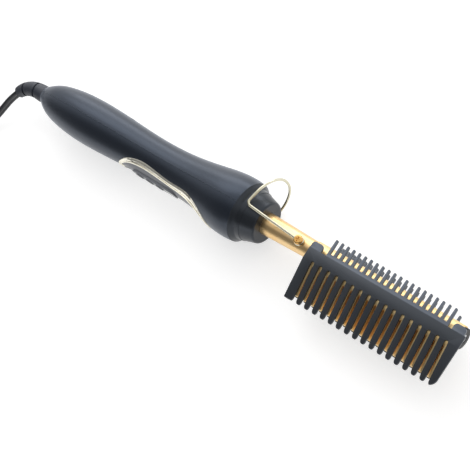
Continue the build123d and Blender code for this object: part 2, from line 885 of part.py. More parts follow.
# Knurled end cap over the barrel's end, and its screw
with BuildPart() as end_cap:
    with BuildSketch(section(gold_end, barrel_drop)):
        Circle(cap_radius)
        with PolarLocations(cap_radius, 28):
            Circle(0.28)
    extrude(amount=cap_thickness)
    with BuildSketch(section(gold_end, barrel_drop)):
        Circle(1.3)
    extrude(amount=cap_thickness, mode=Mode.SUBTRACT)
    with BuildSketch(section(gold_end + cap_thickness - 1, barrel_drop)):
        Circle(2.4)
    extrude(amount=1.2, mode=Mode.SUBTRACT)
finish(end_cap, "end_cap")

with BuildPart() as end_screw:
    with BuildSketch(section(gold_end + cap_thickness - 1, barrel_drop)):
        Circle(2.3)
    extrude(amount=0.8)
    with BuildSketch(section(gold_end + cap_thickness - 1, barrel_drop)):
        Circle(1.18)
    extrude(amount=-4.5)
    with BuildSketch(section(gold_end + cap_thickness - 0.6, barrel_drop)):
        Rectangle(2.6, 0.5)
        Rectangle(0.5, 2.6)
    extrude(amount=0.6, mode=Mode.SUBTRACT)
finish(end_screw, "end_screw")

# Heating rod in its sleeve, inside the barrel
heater_start = head_x + neck_spigot_length + 1
heater_end = gold_end - barrel_end_wall - 1
with BuildPart() as heater_rod:
    with BuildSketch(section(heater_start, barrel_drop)):
        Circle(barrel_bore_radius - 0.65)
    extrude(amount=heater_end - heater_start)
finish(heater_rod, "heater_rod")

with BuildPart() as heater_sleeve:
    with BuildSketch(section(heater_start, barrel_drop)):
        Circle(barrel_bore_radius - 0.05)
        Circle(barrel_bore_radius - 0.6, mode=Mode.SUBTRACT)
    extrude(amount=heater_end - heater_start)
finish(heater_sleeve, "heater_sleeve")

# Heater leads, from the board through the neck, and the thermal fuse beside them
heater_leads = wires(
    [
        (board_front - 3, -board_back + 0.65, 1.5),
        (board_front + 4, -board_back + 0.65, 1.5),
        (neck_rear - 6, -0.5, 2.3),
        (heater_start - 8, -0.5, 2.3),
        (heater_start - 0.5, -barrel_drop, 1.4),
    ],
    0.6,
    1.5,
)
finish(heater_leads, "heater_leads")

with BuildPart() as thermal_fuse:
    with BuildSketch(section(head_x - 20, 1.7)):
        Circle(1.4)
    extrude(amount=9)
finish(thermal_fuse, "thermal_fuse")

# Wire stand: an arch on two legs that end in eyes
leg_x = hinge_x - leg_length


def arch_point(y, z):
    """A point of the leaning arch, y above the axis and z beside it."""
    return (leg_x + arch_lean * (y - leg_rise), axis_y + y, axis_z + z)


eye_radius = eye_bore_radius + wire_radius
with BuildPart() as wire_stand:
    corner = arch_corner_radius
    with BuildLine() as arch_path:
        FilletPolyline(
            (hinge_x - eye_radius - 0.25, axis_y + 0.12, axis_z - leg_root_z),
            arch_point(leg_rise, -arch_half_width),
            arch_point(arch_top, -arch_half_width),
            arch_point(arch_top, arch_half_width),
            arch_point(leg_rise, arch_half_width),
            (hinge_x - eye_radius - 0.25, axis_y + 0.12, axis_z + leg_root_z),
            radius=[2.0, corner, corner, 2.0],
        )
    with BuildSketch(Plane(origin=arch_path.line @ 0, z_dir=arch_path.line % 0)):
        Circle(wire_radius)
    sweep()
    for sign in (-1, 1):
        eye_centre = (hinge_x, axis_y, axis_z + sign * leg_root_z)
        with BuildPart(Plane(origin=eye_centre, z_dir=(0, 0, 1)), mode=Mode.PRIVATE) as eye:
            Torus(eye_radius, wire_radius)
        add(eye.part)
finish(wire_stand, "wire_stand")

# Hinge screws and washers of the stand, on the neck's two flats
washer_base = neck_front_radius - 0.25
with BuildPart() as hinge_washers:
    for sign in (-1, 1):
        with BuildSketch(plan.offset(sign * washer_base)):
            with Locations((hinge_x, 0)):
                Circle(2.5)
                Circle(hinge_screw_radius + fit_clearance, mode=Mode.SUBTRACT)
        extrude(amount=sign * (leg_root_z - wire_radius - washer_base - 0.05))
finish(hinge_washers, "hinge_washers")

head_base = leg_root_z + wire_radius + 0.05
with BuildPart() as hinge_screws:
    for sign in (-1, 1):
        with BuildSketch(plan.offset(sign * head_base)):
            with Locations((hinge_x, 0)):
                Circle(2.5)
        extrude(amount=sign * 1.3)
        with BuildSketch(plan.offset(sign * (washer_base + 0.05))):
            with Locations((hinge_x, 0)):
                Circle(hinge_screw_radius)
        extrude(amount=sign * (head_base - washer_base + 0.3))
        with BuildSketch(plan.offset(sign * (washer_base - 1.4))):
            with Locations((hinge_x, 0)):
                Circle(hinge_screw_radius - 0.32)
        extrude(amount=sign * 2)
    tops = [hinge_screws.faces().sort_by(Axis.Z)[0], hinge_screws.faces().sort_by(Axis.Z)[-1]]
    fillet([edge for top in tops for edge in top.edges()], 0.9)
    for sign in (-1, 1):
        with BuildSketch(plan.offset(sign * (head_base + 0.6))):
            with Locations((hinge_x, 0)):
                Rectangle(2.6, 0.55)
                Rectangle(0.55, 2.6)
        extrude(amount=sign * 1, mode=Mode.SUBTRACT)
finish(hinge_screws, "hinge_screws")

# Boot where the cord leaves: a bent taper with ribs, on a neck and flange between the shells
boot_path_points = [
    (rear_x, axis_y, axis_z),
    (rear_x - 9.2, axis_y - 1.1, axis_z - 0.3),
    (-166.7, -4.5, 15.2),
]
cord_points = [
    boot_path_points[2],
    (-171.7, -9.3, 12.2),
    (-175.7, -15.9, 8.7),
    (-179.5, -24.7, 5.5),
    (-186.3, -36.2, 3.3),
    (-201.5, -48.2, coil_layer_height),
    (-222.5, -51.2, coil_layer_height),
    (*coil_start, coil_layer_height),
]


def turn_radii(points, share=0.45):
    """The arc radius at each inner point: share of the shorter run over the half turn's tangent."""
    radii = []
    for before, here, after in zip(points, points[1:], points[2:]):
        run_in = Vector(*here) - Vector(*before)
        run_out = Vector(*after) - Vector(*here)
        half_turn = math.radians(run_in.get_angle(run_out) / 2)
        radii.append(share * min(run_in.length, run_out.length) / math.tan(half_turn))
    return radii


boot_end = Vector(*boot_path_points[2])
boot_heading = (Vector(*cord_points[1]) - boot_end).normalized()
boot_line = Edge.make_tangent_arc(
    boot_end, boot_heading * -1, Vector(rear_x - 5.5, axis_y - 0.2, axis_z)
)
boot_rings = 6
boot_grooves = (0.07, 0.58)


def boot_station(share):
    """The plane and radius at a share of the boot's length from the handle."""
    station = Plane(origin=boot_line @ (1 - share), z_dir=(boot_line % (1 - share)) * -1)
    return station, boot_root_radius + (boot_tip_radius - boot_root_radius) * share


with BuildPart() as strain_relief:
    with BuildSketch(section(rear_x + rear_wall)):
        Circle(boot_flange_radius)
    extrude(amount=2)
    with BuildSketch(section(rear_x)):
        Circle(boot_tip_radius)
    extrude(amount=rear_wall + 1)
    with BuildSketch(section(rear_x)):
        Circle(boot_root_radius)
    for n in range(boot_rings + 1):
        station, radius = boot_station(n / boot_rings)
        with BuildSketch(station):
            Circle(radius)
    loft()
    for share in boot_grooves:
        station, radius = boot_station(share)
        with BuildSketch(station):
            Circle(radius + 1)
            Circle(radius - boot_groove_depth, mode=Mode.SUBTRACT)
        extrude(amount=boot_groove_width, mode=Mode.SUBTRACT)
finish(strain_relief, "strain_relief")

# Free cord from the boot to the coil
radii = turn_radii(cord_points)
print("cord arc radii", [round(r, 1) for r in radii])
runs = [(Vector(*b) - Vector(*a)).length for a, b in zip(cord_points, cord_points[1:])]
print("cord runs", [round(r, 1) for r in runs])
with BuildPart() as cord_tube:
    with BuildLine() as cord_path:
        FilletPolyline(*cord_points, radius=radii)
    with BuildSketch(Plane(origin=cord_path.line @ 0, z_dir=cord_path.line % 0)):
        Circle(cord_radius)
    sweep()
cord_length = sum(edge.length for edge in cord_path.edges())
tube_volume = math.pi * cord_radius**2 * cord_length
print("cord tube volume over section times length", cord_tube.part.volume / tube_volume)
finish(cord_tube, "cord_tube")

# Coil: half turns spiral in on the floor, climb one layer and spiral out again
heading = (Vector(*cord_points[-1]) - Vector(*cord_points[-2])).normalized()
across = Vector(heading.Y, -heading.X)
half_turns = 2 * coil_turns
outer_radius = coil_mean_radius + coil_pitch * coil_turns / 2
centre = Vector(*coil_start, 0) + across * outer_radius


def crossing(side_sign, radius, height):
    """The point where the coil crosses the line through its centre, and its tangent there."""
    point = centre - across * (side_sign * radius) + Vector(0, 0, height)
    return point, heading * side_sign


low = coil_layer_height
high = coil_layer_height + coil_layer_rise
crossings = []
for n in range(half_turns + 1):
    crossings.append(crossing((-1) ** n, outer_radius - n * coil_pitch / 2, low))
inner_radius = outer_radius - half_turns * coil_pitch / 2
for n in range(half_turns):
    crossings.append(crossing((-1) ** (n + 1), inner_radius + n * coil_pitch / 2, high))
coil_edges = []
for (start, tangent), (end, _) in zip(crossings, crossings[1:]):
    if end.Z > start.Z:
        reach = math.hypot(inner_radius, coil_layer_rise / 2)
        middle = (start + end) * 0.5 + tangent * reach
        climb = Edge.make_tangent_arc(start, tangent, middle)
        coil_edges += [climb, Edge.make_tangent_arc(middle, climb % 1, end)]
    else:
        coil_edges.append(Edge.make_tangent_arc(start, tangent, end))
last_point, last_tangent = crossings[-1]
lead_corner = last_point + last_tangent * lead_out
lead_end = lead_corner + (last_tangent + across) * lead_bend
coil_edges.append(Edge.make_line(last_point, lead_corner))
coil_edges.append(Edge.make_tangent_arc(lead_corner, last_tangent, lead_end))
coil_wire = Wire(coil_edges)
with BuildPart() as cord_coil:
    with BuildSketch(Plane(origin=crossings[0][0], z_dir=crossings[0][1])):
        Circle(cord_radius)
    sweep(path=coil_wire)
finish(cord_coil, "cord_coil")
print("coil length", round(coil_wire.length), "with the tube", round(coil_wire.length + cord_length))


def coil_gap(samples=900):
    """The least space between two turns, measured on points along the coil's middle line."""
    points = [coil_wire @ (n / samples) for n in range(samples + 1)]
    step = coil_wire.length / samples
    apart = int(2 * math.pi * cord_radius * 2 / step) + 2
    least = min(
        (points[i] - points[j]).length
        for i in range(len(points))
        for j in range(i + apart, len(points))
    )
    return least - 2 * cord_radius


print("least gap of the coil to itself", round(coil_gap(), 2))

# Plug at the cord's far end: nose, body and two round pins
plug_plane = Plane(origin=lead_end, x_dir=last_tangent, z_dir=across)
with BuildPart() as plug_body:
    with BuildSketch(plug_plane):
        Circle(3.4)
    with BuildSketch(plug_plane.offset(plug_nose_length)):
        Circle(5.0)
    loft()
    with BuildSketch(plug_plane.offset(plug_nose_length)):
        RectangleRounded(16, 2 * plug_half_thickness, 5)
    with BuildSketch(plug_plane.offset(plug_nose_length + plug_body_length)):
        RectangleRounded(2 * plug_half_width, 2 * plug_half_thickness, 5)
    loft()
    with BuildSketch(plug_plane.offset(plug_nose_length + plug_body_length)):
        RectangleRounded(2 * plug_half_width, 2 * plug_half_thickness, 5)
    extrude(amount=plug_front_length)
    plug_face = plug_plane.offset(plug_nose_length + plug_body_length + plug_front_length)
    with BuildSketch(plug_face):
        with Locations((-pin_half_spacing, 0), (pin_half_spacing, 0)):
            Circle(pin_root_radius)
    extrude(amount=-pin_root_length, mode=Mode.SUBTRACT)
finish(plug_body, "plug_body")

with BuildPart() as plug_pins:
    with BuildSketch(plug_face.offset(-pin_root_length)):
        with Locations((-pin_half_spacing, 0), (pin_half_spacing, 0)):
            Circle(pin_root_radius)
    extrude(amount=pin_root_length)
    with BuildSketch(plug_face):
        with Locations((-pin_half_spacing, 0), (pin_half_spacing, 0)):
            Circle(pin_radius)
    extrude(amount=pin_length)
finish(plug_pins, "plug_pins")
print("plug pin middle", plug_face.offset(pin_length / 2).origin, "direction", across)
print("rear", rear_x, "seam", seam_x, "cone", cone_x, "head", head_x, "axis y", axis_y)
print("hinge", hinge_x, axis_y, axis_z)
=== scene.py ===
import math

import bmesh
import bpy
from mathutils import Matrix, Vector


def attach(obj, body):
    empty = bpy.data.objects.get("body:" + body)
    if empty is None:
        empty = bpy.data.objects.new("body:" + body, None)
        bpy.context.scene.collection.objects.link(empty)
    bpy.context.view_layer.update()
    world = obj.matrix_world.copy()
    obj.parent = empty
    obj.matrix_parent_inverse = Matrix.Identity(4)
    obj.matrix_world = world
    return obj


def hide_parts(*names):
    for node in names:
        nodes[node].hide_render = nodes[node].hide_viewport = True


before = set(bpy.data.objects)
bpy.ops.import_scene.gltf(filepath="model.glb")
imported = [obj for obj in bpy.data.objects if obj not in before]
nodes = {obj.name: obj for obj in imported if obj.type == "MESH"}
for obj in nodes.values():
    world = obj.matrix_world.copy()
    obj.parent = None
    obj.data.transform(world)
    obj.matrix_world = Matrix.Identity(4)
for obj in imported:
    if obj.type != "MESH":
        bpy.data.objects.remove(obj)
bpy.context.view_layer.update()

# An electric hot comb lying on its side: dark handle, gold neck and heated comb under guards.
# +X runs to the comb's tip, -Y to the teeth and the controls, +Z is up, and all is in metres.

mm = 0.001
scene = bpy.context.scene

# Camera, at the photograph's angle
cameraFacts = {
    "place": (343.40 * mm, -68.6 * mm, 601.68 * mm),
    "right": (0.745972, 0.551812, -0.372865),
    "up": (-0.446213, 0.829756, 0.335260),
    "lens": 99.574,
    "sensor": 36.0,
    "nearest": 0.01,
    "farthest": 20.0,
}
cameraData = bpy.data.cameras.new("camera")
cameraData.lens = cameraFacts["lens"]
cameraData.sensor_width = cameraFacts["sensor"]
cameraData.clip_start = cameraFacts["nearest"]
cameraData.clip_end = cameraFacts["farthest"]
camera = bpy.data.objects.new("camera", cameraData)
scene.collection.objects.link(camera)
scene.camera = camera
rightWay = Vector(cameraFacts["right"]).normalized()
upWay = Vector(cameraFacts["up"]).normalized()
backWay = rightWay.cross(upWay)
turn = Matrix((rightWay, upWay, backWay)).transposed().to_4x4()
camera.matrix_world = Matrix.Translation(cameraFacts["place"]) @ turn
print("camera placed")


def hexColour(code):
    # an sRGB hex value as a linear colour
    parts = [int(code[i:i + 2], 16) / 255 for i in (1, 3, 5)]
    linear = [c / 12.92 if c <= 0.04045 else ((c + 0.055) / 1.055) ** 2.4 for c in parts]
    return (*linear, 1.0)


def addNode(tree, kind, settings=None, links=None):
    # a node with its settings, which are sockets or properties, and its links
    node = tree.nodes.new(kind)
    for key, value in (settings or {}).items():
        if isinstance(key, int) or key in node.inputs:
            node.inputs[key].default_value = value
        else:
            setattr(node, key, value)
    for key, source in (links or {}).items():
        tree.links.new(source, node.inputs[key])
    return node


def newMaterial(name, sockets):
    material = bpy.data.materials.new(name)
    material.use_nodes = True
    tree = material.node_tree
    shader = tree.nodes["Principled BSDF"]
    for key, value in sockets.items():
        shader.inputs[key].default_value = value
    return material, tree, shader


def grain(tree, shader, size, depth, detail=2.0, stretch=(1, 1, 1)):
    # a fine surface texture as bump, which gives back the coordinates it reads; moulded grain
    # is near 0.05 mm and is drawn coarser here, so that it shows
    place = addNode(tree, "ShaderNodeTexCoord")
    mapping = addNode(
        tree, "ShaderNodeMapping", {"Scale": stretch}, {"Vector": place.outputs["Object"]}
    )
    noise = addNode(
        tree, "ShaderNodeTexNoise", {"Scale": 1 / size, "Detail": detail},
        {"Vector": mapping.outputs["Vector"]},
    )
    bump = addNode(
        tree, "ShaderNodeBump", {"Strength": 1.0, "Distance": depth},
        {"Height": noise.outputs["Fac"]},
    )
    tree.links.new(bump.outputs["Normal"], shader.inputs["Normal"])
    return place


mottleFacts = {
    "firstTone": 0.35,  # noise below this is wholly the first tone
    "secondTone": 0.65,  # and above this wholly the second
    "detail": 3.0,
}


def mottle(tree, shader, place, size, first, second):
    # slow colour drift between two tones, over patches of the given size
    noise = addNode(
        tree, "ShaderNodeTexNoise", {"Scale": 1 / size, "Detail": mottleFacts["detail"]},
        {"Vector": place.outputs["Object"]},
    )
    ramp = addNode(tree, "ShaderNodeValToRGB", {}, {"Fac": noise.outputs["Fac"]})
    lowStop, highStop = ramp.color_ramp.elements
    lowStop.position = mottleFacts["firstTone"]
    highStop.position = mottleFacts["secondTone"]
    lowStop.color = hexColour(first)
    highStop.color = hexColour(second)
    tree.links.new(ramp.outputs["Color"], shader.inputs["Base Color"])
    return ramp


# Injection moulded ABS with a spark-eroded satin skin: charcoal, faintly blue, paler at the rim
def satinAbs():
    material, tree, shader = newMaterial(
        "satin_moulded_abs",
        {
            "Roughness": 0.33, "IOR": 1.53, "Specular IOR Level": 0.72,
            "Specular Tint": hexColour("#ccdcf5"), "Sheen Weight": 0.55, "Sheen Roughness": 0.35,
            "Sheen Tint": hexColour("#dbe6f8"),
        },
    )
    place = grain(tree, shader, 0.35 * mm, 0.004 * mm)
    mottle(tree, shader, place, 60 * mm, "#10141b", "#141820")
    return material


# The same plastic on the nose, from a finer mould: a little smoother, with a plainer gloss
def noseAbs():
    material, tree, shader = newMaterial(
        "fine_satin_nose_abs",
        {
            "Roughness": 0.3, "IOR": 1.53, "Specular IOR Level": 0.5,
            "Specular Tint": hexColour("#dfe9f8"),
        },
    )
    place = grain(tree, shader, 0.8 * mm, 0.004 * mm)
    mottle(tree, shader, place, 25 * mm, "#1b1e22", "#202327")
    return material


# Glass-filled PBT guards: slate grey with a soft gloss, and a painted highlight above the ridge:
# the lip, the lugs and the fingers are painted paler, standing in for the light they catch
guardPaintedHighlight = {"ridge": 1.42 * mm, "blend": 0.25 * mm, "above": "#5b616b"}


def slatePbt():
    material, tree, shader = newMaterial(
        "slate_glass_filled_pbt",
        {
            "Roughness": 0.4, "IOR": 1.57, "Specular IOR Level": 0.5,
            "Specular Tint": hexColour("#e4ecf8"),
        },
    )
    place = grain(tree, shader, 0.4 * mm, 0.004 * mm)
    ramp = mottle(tree, shader, place, 18 * mm, "#2f3236", "#35383d")
    # painted highlight: a lighter tone mixed in above the ridge, in place of the light falling on
    # the lip, lugs and fingers
    split = addNode(tree, "ShaderNodeSeparateXYZ", {}, {"Vector": place.outputs["Object"]})
    above = addNode(
        tree, "ShaderNodeMapRange",
        {
            "From Min": guardPaintedHighlight["ridge"] - guardPaintedHighlight["blend"],
            "From Max": guardPaintedHighlight["ridge"] + guardPaintedHighlight["blend"],
        },
        {"Value": split.outputs["Y"]},
    )
    mix = addNode(
        tree, "ShaderNodeMixRGB", {"Color2": hexColour(guardPaintedHighlight["above"])},
        {"Fac": above.outputs["Result"], "Color1": ramp.outputs["Color"]},
    )
    tree.links.new(mix.outputs["Color"], shader.inputs["Base Color"])
    return material


# Gold-plated brass, brushed lengthwise: fine lines along the neck, softer on the comb
def platedBrass(name, roughness, first, second):
    material, tree, shader = newMaterial(name, {"Metallic": 1.0, "Roughness": roughness})
    place = grain(tree, shader, 0.5 * mm, 0.004 * mm, 2.0, (0.04, 1, 1))
    mottle(tree, shader, place, 12 * mm, first, second)
    return material


# Champagne anodised aluminium of the trim and the hinge washers, satin
def champagneTrim():
    material, tree, shader = newMaterial(
        "champagne_anodised_trim", {"Metallic": 1.0, "Roughness": 0.2}
    )
    place = grain(tree, shader, 0.3 * mm, 0.003 * mm)
    mottle(tree, shader, place, 15 * mm, "#f5f0df", "#f9f6ea")
    return material


# Drawn and gold-plated spring wire of the stand: pale, and smooth enough to mirror the room
def platedWire():
    material, tree, shader = newMaterial(
        "gold_plated_wire", {"Metallic": 1.0, "Roughness": 0.15}
    )
    place = grain(tree, shader, 0.6 * mm, 0.004 * mm)
    mottle(tree, shader, place, 8 * mm, "#cfcab2", "#dad6c2")
    return material


# Painted panel insert, mid grey under a thin satin lacquer
def paintedPanel():
    material, tree, shader = newMaterial(
        "painted_grey_panel", {"Roughness": 0.32, "Coat Weight": 0.3, "Coat Roughness": 0.2}
    )
    place = grain(tree, shader, 0.5 * mm, 0.004 * mm)
    mottle(tree, shader, place, 30 * mm, "#6c6f75", "#767980")
    return material


# Buttons of the same family, a little darker
def satinButton():
    material, tree, shader = newMaterial("satin_grey_button", {"Roughness": 0.3})
    place = grain(tree, shader, 0.4 * mm, 0.004 * mm)
    mottle(tree, shader, place, 6 * mm, "#585b61", "#62656b")
    return material


# Smoked polycarbonate over the display and the indicator
def smokedWindow():
    material, tree, shader = newMaterial("smoked_polycarbonate", {"Roughness": 0.05, "IOR": 1.58})
    place = grain(tree, shader, 4 * mm, 0.001 * mm)
    mottle(tree, shader, place, 5 * mm, "#0b0c0e", "#101216")
    return material


# Soft PVC of the cord, its boot and the plug: black with a dull gloss. The plastic inside and
# the leads' sleeves differ from it only in tone and roughness.
def softPvc(name, roughness, first, second):
    material, tree, shader = newMaterial(name, {"Roughness": roughness, "IOR": 1.52})
    place = grain(tree, shader, 0.6 * mm, 0.012 * mm)
    mottle(tree, shader, place, 20 * mm, first, second)
    return material


# Plain steel and brass parts: zinc-plated screws and nickel-plated pins
def platedSteel(name, first, second, roughness):
    material, tree, shader = newMaterial(name, {"Metallic": 1.0, "Roughness": roughness})
    place = grain(tree, shader, 0.4 * mm, 0.004 * mm)
    mottle(tree, shader, place, 5 * mm, first, second)
    return material


# Pressed ceramic and mica of the hot parts
def pressedCeramic():
    material, tree, shader = newMaterial("pressed_ceramic", {"Roughness": 0.7})
    place = grain(tree, shader, 0.3 * mm, 0.02 * mm, 4.0)
    mottle(tree, shader, place, 4 * mm, "#c9c3b4", "#d8d3c6")
    return material


# Green solder mask on glass-fibre board
def solderMask():
    material, tree, shader = newMaterial("green_solder_mask", {"Roughness": 0.25})
    place = grain(tree, shader, 0.5 * mm, 0.006 * mm)
    mottle(tree, shader, place, 6 * mm, "#0f4a28", "#155a33")
    return material


finishes = {
    "satinAbs": satinAbs(),
    "noseAbs": noseAbs(),
    "slatePbt": slatePbt(),
    "neckBrass": platedBrass("gold_plated_neck_brass", 0.33, "#ecc68c", "#f2d29e"),
    "combBrass": platedBrass("gold_plated_comb_brass", 0.44, "#f3d295", "#f8dca6"),
    "screwBrass": platedBrass("gold_plated_screw_brass", 0.25, "#d9a860", "#e2b673"),
    "champagneTrim": champagneTrim(),
    "platedWire": platedWire(),
    "paintedPanel": paintedPanel(),
    "satinButton": satinButton(),
    "smokedWindow": smokedWindow(),
    "cordPvc": softPvc("soft_black_pvc", 0.36, "#191b21", "#1f2128"),
    "bootPvc": softPvc("ribbed_boot_pvc", 0.45, "#2c3039", "#343842"),
    "innerPlastic": softPvc("black_inner_plastic", 0.5, "#121315", "#17181b"),
    "leadSleeve": softPvc("woven_glass_sleeve", 0.8, "#b8b3a6", "#c9c4b8"),
    "zincSteel": platedSteel("zinc_plated_steel", "#b9bbbf", "#c8cacd", 0.3),
    "nickelPin": platedSteel("nickel_plated_brass", "#c4c1b8", "#d2cfc6", 0.2),
    "ceramic": pressedCeramic(),
    "solderMask": solderMask(),
}
print("materials made")

# Cord: a flat twin lead standing on its edge, from the boot to a coil outside the view. Its
# places and sizes are in mm.
cordFacts = {
    "route": [
        (-166.7, -4.5, 15.2),
        (-171.7, -9.3, 12.2),
        (-175.7, -15.9, 8.7),
        (-179.5, -24.7, 5.5),
        (-186.3, -36.2, 3.3),
        (-201.5, -48.2, 2.5),
        (-222.5, -51.2, 2.5),
        (-243.0, -51.2, 2.5),
    ],
    "turns": 4,
    "meanRadius": 27.0,
    "pitch": 5.3,
    "rise": 5.2,
    "pointsPerTurn": 16,
    "lead": [
        (-271.5, -48.55, 7.7),
        (-291.8, -48.55, 7.7),
        (-301.2, -39.2, 7.7),
        (-301.2, -32.55, 7.7),
    ],
    "strandRadius": 1.35,
    "strandOffset": 1.15,
    "webShare": 0.82,  # where a strand's wall ends at the web, as a share of the offset
    "strandSteps": 10,
    "lineSteps": 6,
    "merge": 0.001,
}


def coilPoints(facts):
    # clockwise seen from above: in on the floor, up one layer where it reverses, and out again
    startX, startY, low = facts["route"][-1]
    outer = facts["meanRadius"] + facts["pitch"] * facts["turns"] / 2
    inner = outer - facts["pitch"] * facts["turns"]
    steps = facts["pointsPerTurn"]
    reverse = steps * facts["turns"]
    half = steps // 2
    points = []
    for n in range(1, 2 * reverse + 1):
        angle = 2 * math.pi * n / steps
        climb = min(max((n - reverse) / half, 0), 1)
        radius = inner + facts["pitch"] * max(reverse - n, n - reverse - half, 0) / steps
        points.append((
            startX - radius * math.sin(angle),
            startY + outer - radius * math.cos(angle),
            low + facts["rise"] * climb,
        ))
    return points


def smoothSpline(name, points):
    data = bpy.data.curves.new(name, "CURVE")
    data.dimensions = "3D"
    data.twist_mode = "Z_UP"
    data.resolution_u = cordFacts["lineSteps"]
    spline = data.splines.new("NURBS")
    spline.points.add(len(points) - 1)
    for point, place in zip(spline.points, points):
        point.co = (*place, 1.0)
    spline.order_u = 3
    spline.use_endpoint_u = True
    return data


def twinProfile():
    # two round strands side by side, joined by a narrow web
    radius = cordFacts["strandRadius"] * mm
    offset = cordFacts["strandOffset"] * mm
    steps = cordFacts["strandSteps"]
    meet = math.acos(cordFacts["webShare"] * offset / radius)
    data = bpy.data.curves.new("twin_profile", "CURVE")
    data.dimensions = "2D"
    spline = data.splines.new("POLY")
    places = []
    for side in (1, -1):
        for k in range(steps + 1):
            angle = (math.pi - meet) * (2 * k / steps - 1)
            wide = side * (offset + radius * math.cos(angle))
            places.append((-side * radius * math.sin(angle), wide))
    spline.points.add(len(places) - 1)
    for point, place in zip(spline.points, places):
        point.co = (*place, 0.0, 1.0)
    spline.use_cyclic_u = True
    profile = bpy.data.objects.new("twin_profile", data)
    scene.collection.objects.link(profile)
    return profile


def linkPiece(name, mesh, material):
    # every piece made here belongs to the comb's own body
    piece = bpy.data.objects.new(name, mesh)
    scene.collection.objects.link(piece)
    mesh.materials.clear()
    mesh.materials.append(material)
    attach(piece, "comb")
    return piece


def sinkChannel(work, facts):
    # lowers the middle of the trim's outer face into a channel between two fine lips; the outer
    # faces are those turned to -Y, and the channel sinks towards the handle's axis
    outerFace = [f for f in work.faces if f.normal.y < facts["faceTurn"]]
    bmesh.ops.inset_region(
        work, faces=outerFace, use_boundary=True, use_even_offset=True, thickness=facts["lip"] * mm
    )
    axisY, axisZ = facts["axis"]
    axis = Vector((0, axisY * mm, axisZ * mm))
    walls = bmesh.ops.extrude_face_region(work, geom=outerFace)
    for v in [g for g in walls["geom"] if isinstance(g, bmesh.types.BMVert)]:
        outwards = ((v.co - axis) * Vector((0, 1, 1))).normalized()
        v.co -= outwards * facts["channel"] * mm
    bmesh.ops.delete(work, geom=[f for f in outerFace if f.is_valid], context="FACES")


def dressedCopy(nodeName, facts):
    # a carried-over part, merged and smooth, with its sharp edges broken as the real one has them
    mesh = nodes[nodeName].data.copy()
    mesh.name = facts["name"]
    if "custom_normal" in mesh.attributes:
        mesh.attributes.remove(mesh.attributes["custom_normal"])
    work = bmesh.new()
    work.from_mesh(mesh)
    bmesh.ops.remove_doubles(work, verts=work.verts, dist=facts["merge"] * mm)
    if facts["flatAngle"]:
        bmesh.ops.dissolve_limit(
            work, angle_limit=math.radians(facts["flatAngle"]), verts=work.verts, edges=work.edges
        )
    if "channel" in facts:
        sinkChannel(work, facts)
    sharp = [
        e for e in work.edges
        if len(e.link_faces) == 2 and e.calc_face_angle() > math.radians(facts["sharpAngle"])
    ]
    if facts["round"]:
        bmesh.ops.bevel(
            work, geom=sharp, offset=facts["round"] * mm, offset_type="OFFSET", affect="EDGES",
            segments=facts["segments"], profile=0.5, material=-1, clamp_overlap=True,
        )
    for face in work.faces:
        face.smooth = True
    work.to_mesh(mesh)
    work.free()
    mesh.set_sharp_from_angle(angle=math.radians(facts["smoothAngle"]))
    piece = linkPiece(facts["name"], mesh, finishes[facts["finish"]])
    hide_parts(nodeName)
    print(facts["name"], "made,", len(mesh.polygons), "faces")


routePlaces = cordFacts["route"] + coilPoints(cordFacts) + cordFacts["lead"]
routePoints = [Vector(p) * mm for p in routePlaces]
centreData = smoothSpline("cord_line", routePoints)
centreObject = bpy.data.objects.new("cord_line", centreData)
scene.collection.objects.link(centreObject)
bpy.context.view_layer.update()
lineMesh = bpy.data.meshes.new_from_object(centreObject)
profile = twinProfile()
centreData.bevel_mode = "OBJECT"
centreData.bevel_object = profile
centreData.use_fill_caps = True
bpy.context.view_layer.update()
graph = bpy.context.evaluated_depsgraph_get()
cordMesh = bpy.data.meshes.new_from_object(centreObject.evaluated_get(graph))
bpy.data.objects.remove(centreObject)
bpy.data.objects.remove(profile)
cordWork = bmesh.new()
cordWork.from_mesh(cordMesh)
bmesh.ops.remove_doubles(cordWork, verts=cordWork.verts, dist=cordFacts["merge"] * mm)
bmesh.ops.recalc_face_normals(cordWork, faces=cordWork.faces)
cordWork.to_mesh(cordMesh)
cordWork.free()
cordMesh.shade_smooth()
cord = linkPiece("twin_cord", cordMesh, finishes["cordPvc"])
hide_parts("cord_tube", "cord_coil")
print("cord laid")

# Parts dressed as smooth copies: lengths in mm, angles in degrees
guardEdges = {
    "merge": 0.002, "flatAngle": 1.0, "sharpAngle": 35.0, "round": 0.22, "segments": 2,
    "smoothAngle": 50.0, "finish": "slatePbt", "slot": "guard_plastic",
}
shellEdges = {
    "merge": 0.02, "flatAngle": 0, "sharpAngle": 35.0, "round": 0, "segments": 1,
    "smoothAngle": 30.0, "finish": "satinAbs", "slot": "handle_plastic",
}
dressedParts = {
    "heated_comb": {
        "name": "gold_comb", "merge": 0.002, "flatAngle": 1.0, "sharpAngle": 35.0,
        "round": 0.28, "segments": 3, "smoothAngle": 50.0, "finish": "combBrass",
        "slot": "gold_brass",
    },
    "front_guard": {"name": "front_finger_guard", **guardEdges},
    "back_guard": {"name": "back_finger_guard", **guardEdges},
    "panel_trim": {
        "name": "trim_bead", "merge": 0.002, "flatAngle": 1.0, "sharpAngle": 50.0,
        "faceTurn": -0.2, "lip": 0.68, "channel": 0.35, "axis": (1.525, 17.4),
        "round": 0.12, "segments": 2, "smoothAngle": 60.0, "finish": "champagneTrim",
        "slot": "gold_trim",
    },
    "plain_shell": {"name": "handle_plain_shell", **shellEdges},
    "control_shell": {"name": "handle_control_shell", **shellEdges},
}
for nodeName, facts in dressedParts.items():
    dressedCopy(nodeName, facts)

